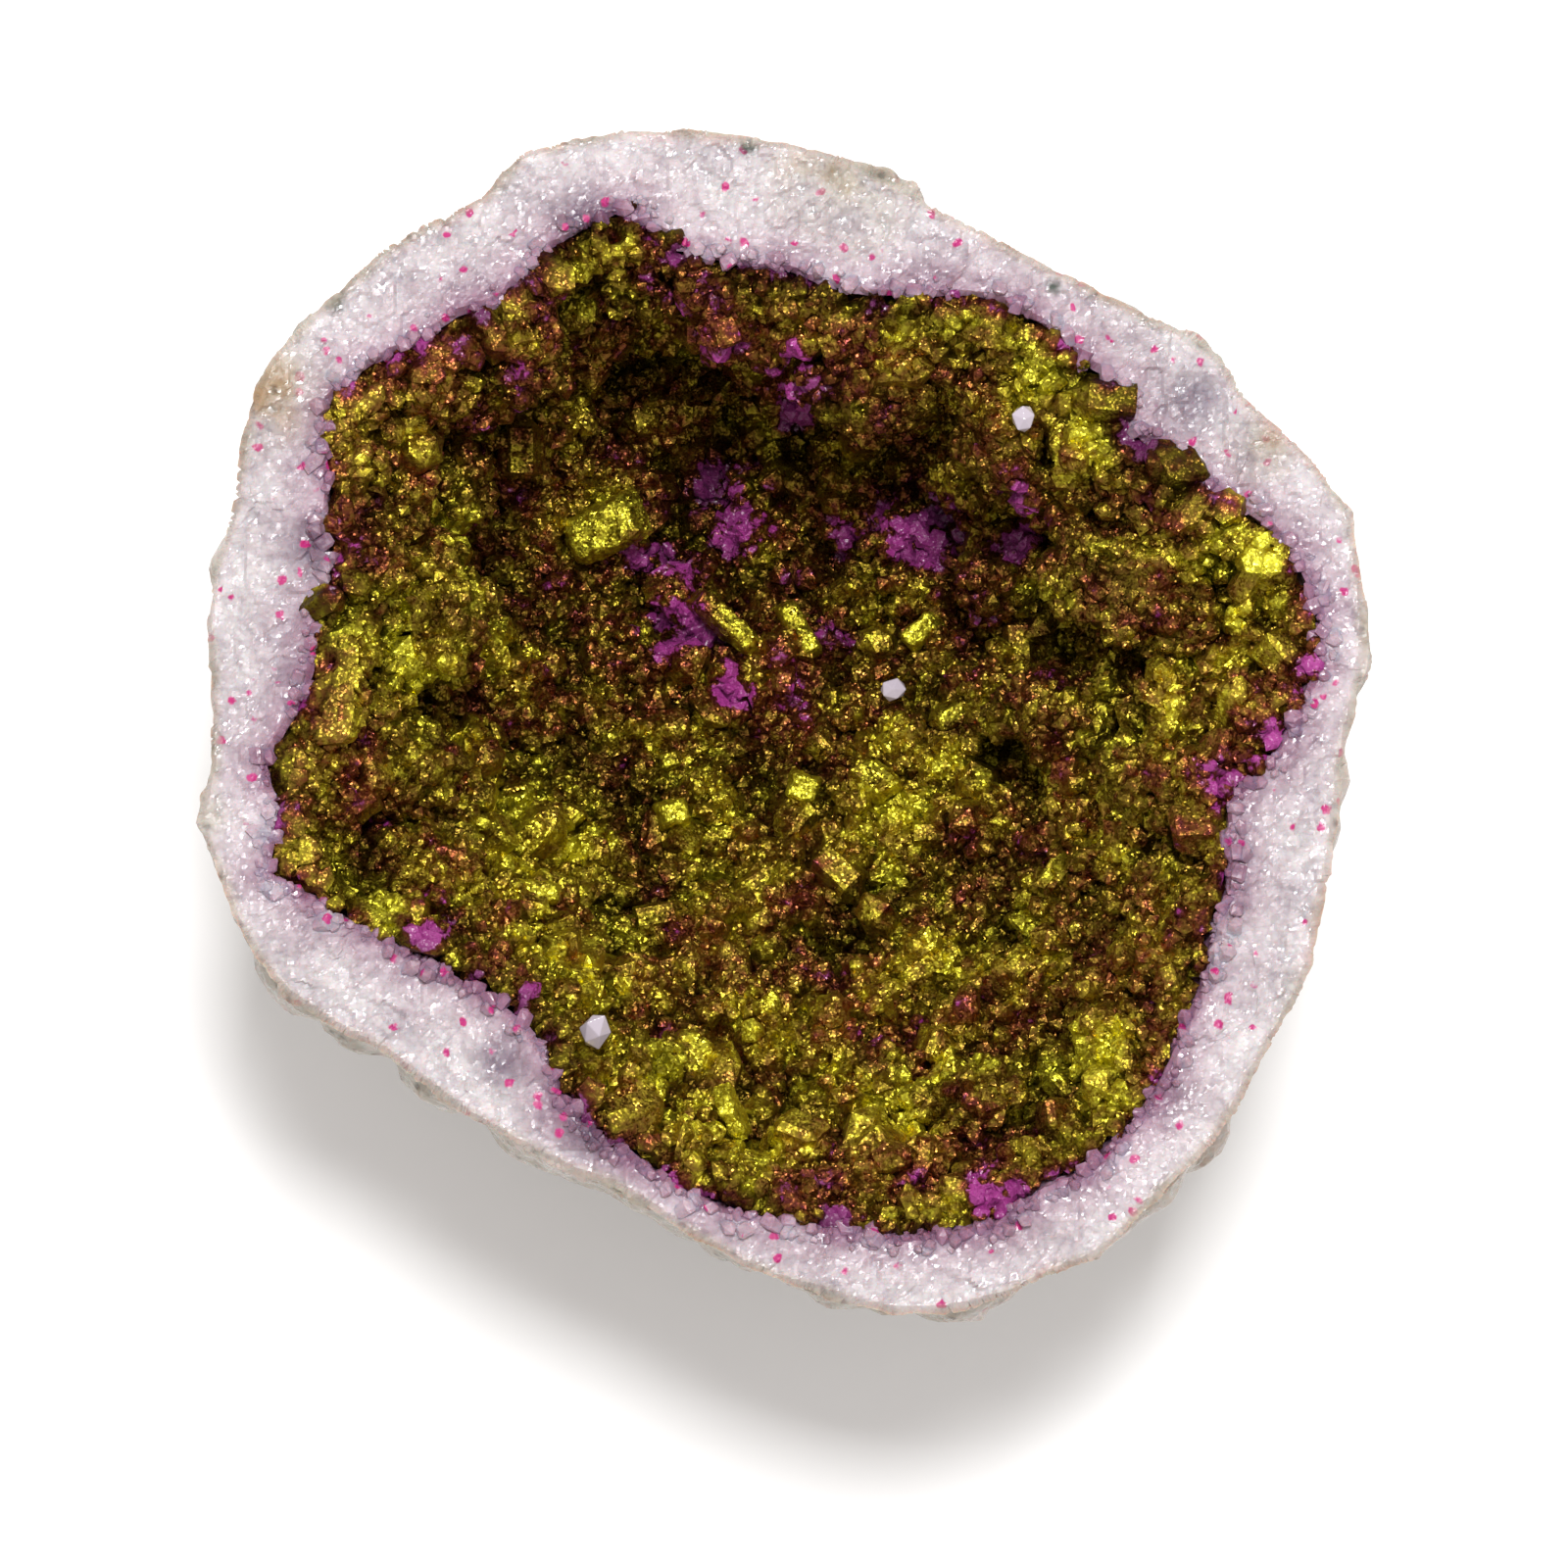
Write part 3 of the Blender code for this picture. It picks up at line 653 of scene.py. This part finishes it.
break_up(wall, size=1.6 * MM, lean=0.08, keep=is_fresh)
break_up(wall, size=0.7 * MM, lean=0.04, keep=is_fresh)

edge = sow("rim_crystals", wall, at_hollow_edge, density=2.6, sizes=(0.4 * MM, 1.2 * MM),
           tilt=0.8, seed=71, rarity=2.0)
roughen(edge, "CLOUDS", spacing=0.5 * MM, height=0.4 * MM)
measure_wall(edge)
only(wall)
edge.select_set(True)
bpy.ops.object.join()

# Sugar-grained quartz, freshly broken: milky white, since light scatters inside it, and glossy
# only on its grains. Dye has soaked in from the hollow and left spots of magenta, and a few grey
# and dark spots are other minerals. The limestone skin is duller, tan, rusty and pitted.
QUARTZ_BLOTCH = 3.5 * MM
QUARTZ_SUGAR = 0.5 * MM
LARGE_GRAIN = 1.1 * MM
SUGAR_GRAIN = 0.3 * MM
RAGGED = 0.5 * MM              # how far the edges of spots wander
SPECK_SPACING = 1.4 * MM
SPECK_CROWDS = 6.0 * MM
IRON_STAINS = 7.0 * MM
PIT_SPACING = 1.1 * MM
STAIN_DEPTH = 4.0              # how far the dye soaked in from the hollow, in mm
SKIN_DEPTH = 0.7               # thickness of the limestone skin, in mm
GREY_SPOTS = [                 # x, y and radius in mm
    (-16.6, -20.4, 1.5), (-11.4, -24.5, 1.6), (-28.0, 10.0, 1.6), (24.5, 19.0, 1.8),
    (-12.0, 30.0, 1.8),
]
DARK_SPECKS = [
    (-26.4, 25.0, 0.6), (-1.9, 34.4, 0.5), (16.3, 26.0, 0.45), (-33.4, -10.0, 0.5),
    (30.4, -17.2, 0.6),
]
SKIN_PATCHES = [               # where the skin comes over on to the broken face
    (4.0, 32.8, 3.6), (-30.6, 20.0, 3.2), (28.4, 16.4, 1.8), (31.2, -16.0, 1.6),
    (-34.0, -5.4, 1.2),
]
quartz, tree, shader, place = new_finish(
    "sugar_quartz", IOR=1.54, Subsurface_Weight=0.35, Subsurface_Scale=1.2 * MM)
reach_in = add(tree, "ShaderNodeAttribute", {"attribute_name": "from_hollow"}).outputs["Fac"]
reach_out = add(tree, "ShaderNodeAttribute", {"attribute_name": "from_skin"}).outputs["Fac"]
blotch = add(tree, "ShaderNodeTexNoise", Vector=place, Scale=1.0 / QUARTZ_BLOTCH, Detail=5.0)
sugar = add(tree, "ShaderNodeTexNoise", Vector=place, Scale=1.0 / QUARTZ_SUGAR, Detail=3.0)
milky = add(tree, "ShaderNodeMix", {"data_type": "FLOAT"}, _0=0.35, _2=blotch, _3=sugar)
wander = add(tree, "ShaderNodeMath", {"operation": "MULTIPLY_ADD"}, _0=blotch, _1=3.0, _2=-1.5)
ragged = add(tree, "ShaderNodeTexNoise", Vector=place, Scale=1.0 / RAGGED).outputs["Color"]
nudged = add(tree, "ShaderNodeVectorMath", {"operation": "MULTIPLY_ADD"}, _0=ragged,
             _1=(RAGGED, RAGGED, RAGGED), _2=place).outputs[0]

# White quartz, stained from the hollow outwards.
white = add(tree, "ShaderNodeValToRGB", _0=milky, stops=[
    (0.34, "#9c9499"), (0.46, "#b3abae"), (0.58, "#c1bbbc"), (0.7, "#cdc8c8")])
soaked = add(tree, "ShaderNodeMath", {"operation": "ADD"}, _0=reach_in, _1=wander)
soaked = add(tree, "ShaderNodeMapRange", _0=soaked, _1=0.0, _2=STAIN_DEPTH)
stain = add(tree, "ShaderNodeValToRGB", _0=soaked, stops=[
    (0.0, 0.8), (0.22, 0.5), (0.55, 0.24), (1.0, 0.05)])
stained = add(tree, "ShaderNodeMix", {"data_type": "RGBA", "blend_type": "MULTIPLY"},
              _0=stain, _6=white, _7=srgb("#ae5894")).outputs[2]

# Grey spots, magenta specks that come in crowds, and dark specks.
greyed = add(tree, "ShaderNodeMix", {"data_type": "RGBA", "blend_type": "MULTIPLY"},
             _0=near_spots(tree, place, GREY_SPOTS), _6=stained, _7=srgb("#b4abb8")).outputs[2]
dots = add(tree, "ShaderNodeTexVoronoi", Vector=nudged, Scale=1.0 / SPECK_SPACING)
dot = add(tree, "ShaderNodeMapRange", _0=dots, _1=0.17, _2=0.24, _3=1.0, _4=0.0)
luck = add(tree, "ShaderNodeSeparateColor", Color=dots.outputs["Color"]).outputs["Red"]
crowd = add(tree, "ShaderNodeTexNoise", Vector=place, Scale=1.0 / SPECK_CROWDS)
needed = add(tree, "ShaderNodeMapRange", _0=crowd, _1=0.35, _2=0.65, _3=0.86, _4=0.2)
lucky = add(tree, "ShaderNodeMath", {"operation": "GREATER_THAN"}, _0=luck, _1=needed)
speck = add(tree, "ShaderNodeMath", {"operation": "MULTIPLY"}, _0=dot, _1=lucky)
speckled = add(tree, "ShaderNodeMix", {"data_type": "RGBA"}, _0=speck, _6=greyed,
               _7=srgb("#b0246f")).outputs[2]
speckled = add(tree, "ShaderNodeMix", {"data_type": "RGBA"},
               _0=near_spots(tree, nudged, DARK_SPECKS), _6=speckled,
               _7=srgb("#3a4038")).outputs[2]

# Limestone: tan, with iron stains and dark pits.
rind = add(tree, "ShaderNodeValToRGB", _0=milky, stops=[
    (0.3, "#776f62"), (0.45, "#9a9285"), (0.6, "#afa798"), (0.7, "#bdb6a9")])
iron = add(tree, "ShaderNodeTexNoise", Vector=place, Scale=1.0 / IRON_STAINS, Detail=6.0,
           Roughness=0.65)
rusty = add(tree, "ShaderNodeMapRange", _0=iron, _1=0.52, _2=0.68, _3=0.0, _4=0.75)
rind = add(tree, "ShaderNodeMix", {"data_type": "RGBA", "blend_type": "MULTIPLY"},
           _0=rusty, _6=rind, _7=srgb("#c49a62")).outputs[2]
pits = add(tree, "ShaderNodeTexVoronoi", Vector=nudged, Scale=1.0 / PIT_SPACING)
pitted = add(tree, "ShaderNodeMapRange", _0=pits, _1=0.1, _2=0.3, _3=0.6, _4=0.0)
rind = add(tree, "ShaderNodeMix", {"data_type": "RGBA", "blend_type": "MULTIPLY"},
           _0=pitted, _6=rind, _7=srgb("#6f675c")).outputs[2]

# The skin covers the back, and patches of the broken face by its outer edge.
outer = add(tree, "ShaderNodeMath", {"operation": "MULTIPLY"}, _0=wander, _1=0.5)
outer = add(tree, "ShaderNodeMath", {"operation": "ADD"}, _0=reach_out, _1=outer)
skinned = add(tree, "ShaderNodeMapRange", _0=outer, _1=-0.1, _2=SKIN_DEPTH, _3=1.0, _4=0.0)
patchy = add(tree, "ShaderNodeMapRange", _0=blotch, _1=0.35, _2=0.6, _3=0.3, _4=1.0)
patch = add(tree, "ShaderNodeMath", {"operation": "MULTIPLY"},
            _0=near_spots(tree, nudged, SKIN_PATCHES), _1=patchy)
skinned = add(tree, "ShaderNodeMath", {"operation": "MAXIMUM"}, _0=skinned, _1=patch)
colour = add(tree, "ShaderNodeMix", {"data_type": "RGBA"}, _0=skinned, _6=speckled, _7=rind)
rough = add(tree, "ShaderNodeMapRange", _0=sugar, _1=0.35, _2=0.65, _3=0.2, _4=0.6)
relief = add(tree, "ShaderNodeMath", {"operation": "ADD"},
             _0=facets(tree, place, LARGE_GRAIN, 0.12),
             _1=facets(tree, place, SUGAR_GRAIN, 0.32))
bump = add(tree, "ShaderNodeBump", Strength=1.0, Distance=1.0, Height=relief)
tree.links.new(colour.outputs[2], shader.inputs["Base Color"])
tree.links.new(rough.outputs[0], shader.inputs["Roughness"])
tree.links.new(bump.outputs[0], shader.inputs["Normal"])
settle(wall, quartz, "white_quartz", "stone_wall")
for shape in list(habits.objects):
    bpy.data.objects.remove(shape)


# ---------------------------------------------------------------------------------------------
# The table and the light. The stone lies face up on matt white paper, under one soft light high
# behind it and to the right, with bright white all round.
TABLE_SIZE = 3.0
FACE_LEVEL = 36.0 * MM         # the broken face, which the light and the camera are aimed at
LIGHT_REACH = 0.9
bpy.ops.mesh.primitive_plane_add(size=TABLE_SIZE, location=(0, 0, 0))
table = bpy.context.object
table.name = "table_top"
# Matt white paper: no gloss at all.
paper, tree, shader, place = new_finish("white_paper", Base_Color=srgb("#f6f6f6"), Roughness=0.9)
table.data.materials.append(paper)

world = bpy.data.worlds.new("studio")
scene.world = world
world.use_nodes = True
world.node_tree.nodes["Background"].inputs["Color"].default_value = srgb("#fffbf9")
world.node_tree.nodes["Background"].inputs["Strength"].default_value = 0.72


def towards(azimuth, elevation):
    """The direction from the stone to azimuth (0 is the near side) and elevation, in degrees."""
    turn, rise = math.radians(azimuth), math.radians(elevation)
    return Vector((math.sin(turn) * math.cos(rise), -math.cos(turn) * math.cos(rise), math.sin(rise)))


def aim(name, data, target, direction, reach):
    """Puts a lamp or a camera at some reach from its target, turned to face it."""
    made = bpy.data.objects.new(name, data)
    scene.collection.objects.link(made)
    made.location = target + direction * reach
    made.rotation_mode = "QUATERNION"
    made.rotation_quaternion = (-direction).to_track_quat("-Z", "Y")
    return made


lamp = bpy.data.lights.new("key_light", "AREA")
lamp.size = 0.2
lamp.energy = 8.0
aim("key_light", lamp, Vector((0.0, 0.0, FACE_LEVEL)), towards(168.0, 75.0), LIGHT_REACH)


# ---------------------------------------------------------------------------------------------
# The camera. It looks almost straight down at the broken face from 400 mm away, through a lens
# that takes in 92.3 mm there.
CAMERA_REACH = 400.0 * MM
PICTURE_WIDTH = 92.3 * MM
lens = bpy.data.cameras.new("camera")
lens.sensor_width = 36.0
lens.lens = lens.sensor_width * CAMERA_REACH / PICTURE_WIDTH
lens.clip_start = 0.01
scene.camera = aim(
    "camera", lens, Vector((0.0, -4.0 * MM, FACE_LEVEL)), towards(0.0, 84.0), CAMERA_REACH)
scene.view_settings.view_transform = "Standard"
